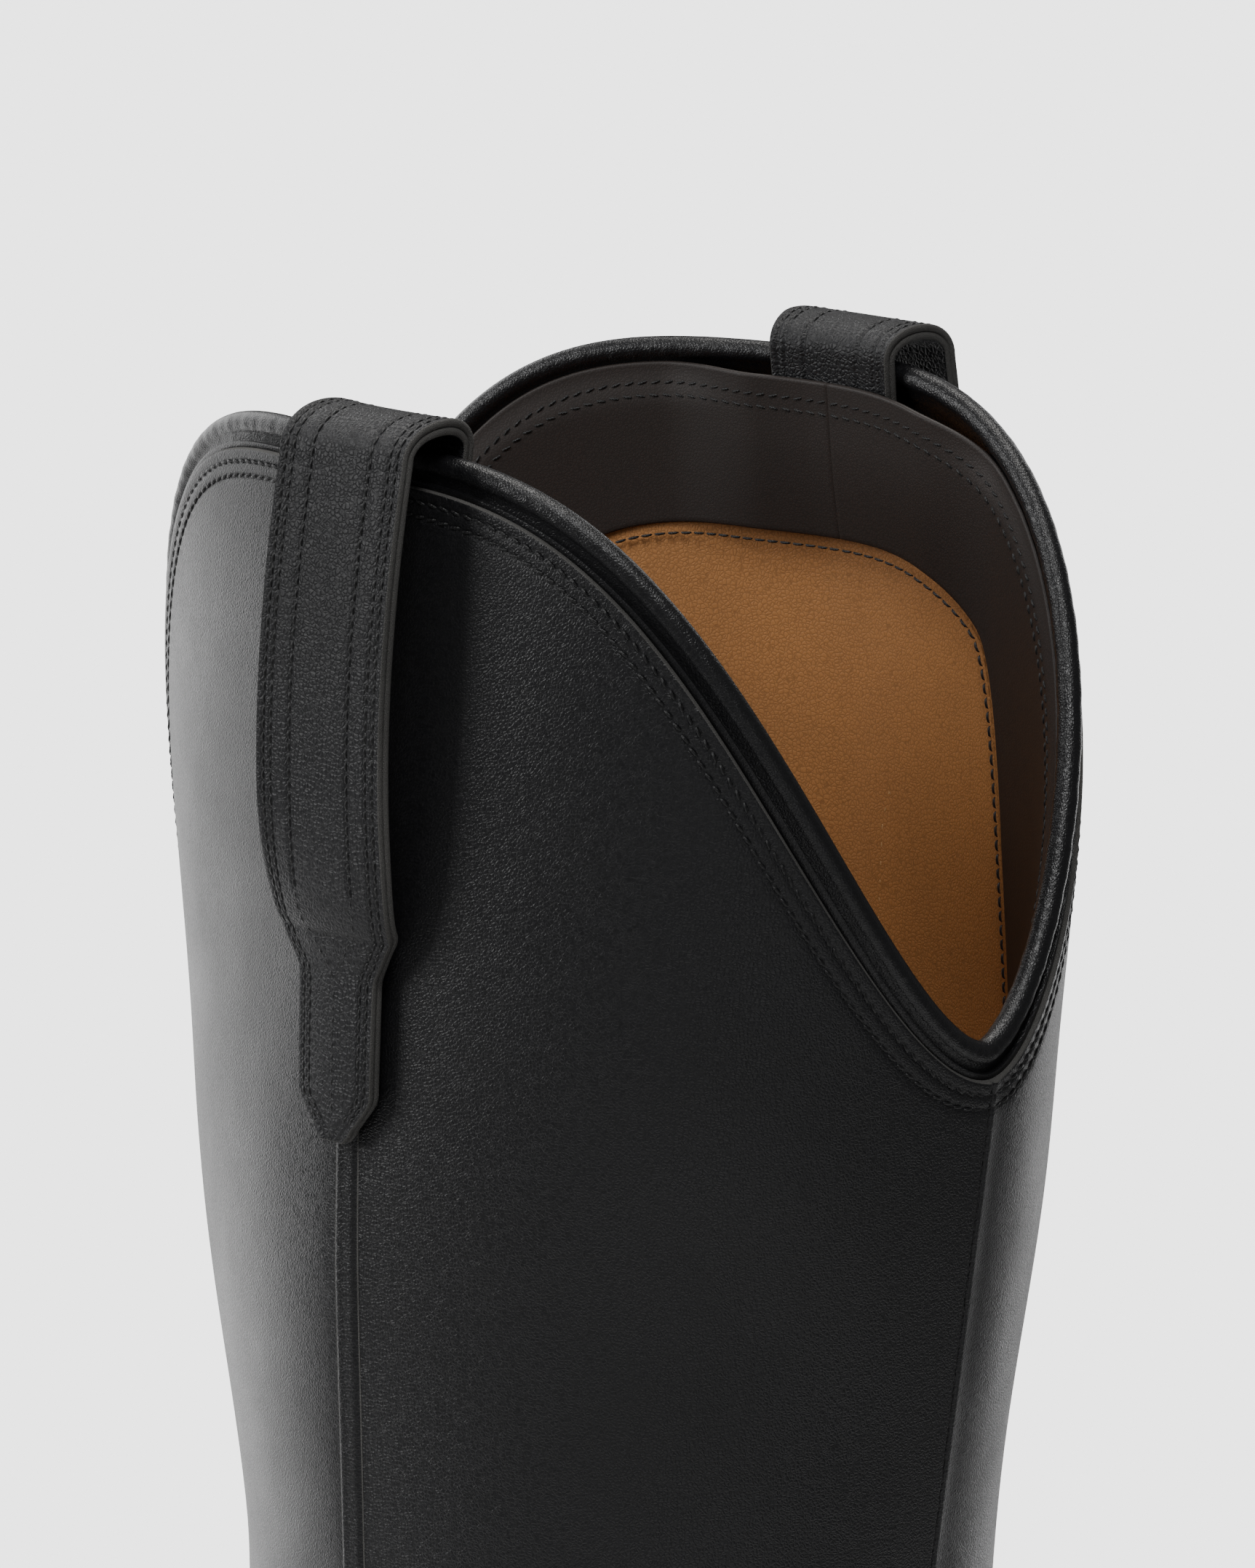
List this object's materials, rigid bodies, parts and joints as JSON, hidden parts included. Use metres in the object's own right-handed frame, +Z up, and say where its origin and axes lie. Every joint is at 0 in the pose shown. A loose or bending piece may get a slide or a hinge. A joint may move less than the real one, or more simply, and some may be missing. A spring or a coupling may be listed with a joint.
{
  "type": "tall western riding boot",
  "caption": "Tall pull-on western riding boot in black grained leather, scalloped top with rolled piping, pull straps and tan lining.",
  "frame": {"origin": "on the floor under the middle of the heel, on the flat underside of the rubber top lift", "axes": "+X towards the toe, +Y towards the boot's left side, +Z up along the shaft"},
  "size_m": [0.3133, 0.1244, 0.3912],
  "materials": {
    "black_leather": "black pebble-grain leather with a low sheen",
    "facing_leather": "smooth black leather, semi-matte",
    "lining_leather": "smooth tan leather, semi-matte",
    "sole_leather": "dyed and burnished sole leather",
    "stiffener_board": "pressed leather board, matte",
    "cork": "bonded cork, matte",
    "spring_steel": "brushed",
    "heel_rubber": "matte black rubber",
    "nail_brass": "dull brass"
  },
  "bodies": {
    "boot": {"shaft_front": "black_leather", "shaft_back_left": "black_leather", "shaft_back_right": "black_leather", "side_welt_left": "black_leather", "side_welt_right": "black_leather", "top_piping": "black_leather", "vamp": "black_leather", "heel_counter_cover": "black_leather", "pull_strap_left_tail": "black_leather", "pull_strap_right_tail": "black_leather", "facing_front": "facing_leather", "facing_back": "facing_leather", "lining_front": "lining_leather", "lining_back": "lining_leather", "vamp_lining": "lining_leather", "heel_lining": "lining_leather", "sock_liner": "lining_leather", "welt": "sole_leather", "heel_rand": "sole_leather", "outsole": "sole_leather", "insole": "sole_leather", "heel_lift_1": "sole_leather", "heel_lift_2": "sole_leather", "heel_lift_3": "sole_leather", "heel_lift_4": "sole_leather", "heel_lift_5": "sole_leather", "toe_puff": "stiffener_board", "heel_stiffener": "stiffener_board", "cork_filler": "cork", "shank": "spring_steel", "top_lift": "heel_rubber", "heel_nail_1": "nail_brass", "heel_nail_2": "nail_brass", "heel_nail_3": "nail_brass", "heel_nail_4": "nail_brass", "heel_nail_5": "nail_brass"},
    "left_loop": {"pull_strap_left_loop": "black_leather"},
    "right_loop": {"pull_strap_right_loop": "black_leather"}
  },
  "joints": [
    {"name": "left_strap_lift", "type": "slide", "parent": "boot", "child": "left_loop", "axis": [0, -0.1191, 0.9929], "range_m": [0, 0.004]},
    {"name": "right_strap_lift", "type": "slide", "parent": "boot", "child": "right_loop", "axis": [0, 0.1191, 0.9929], "range_m": [0, 0.004]}
  ]
}
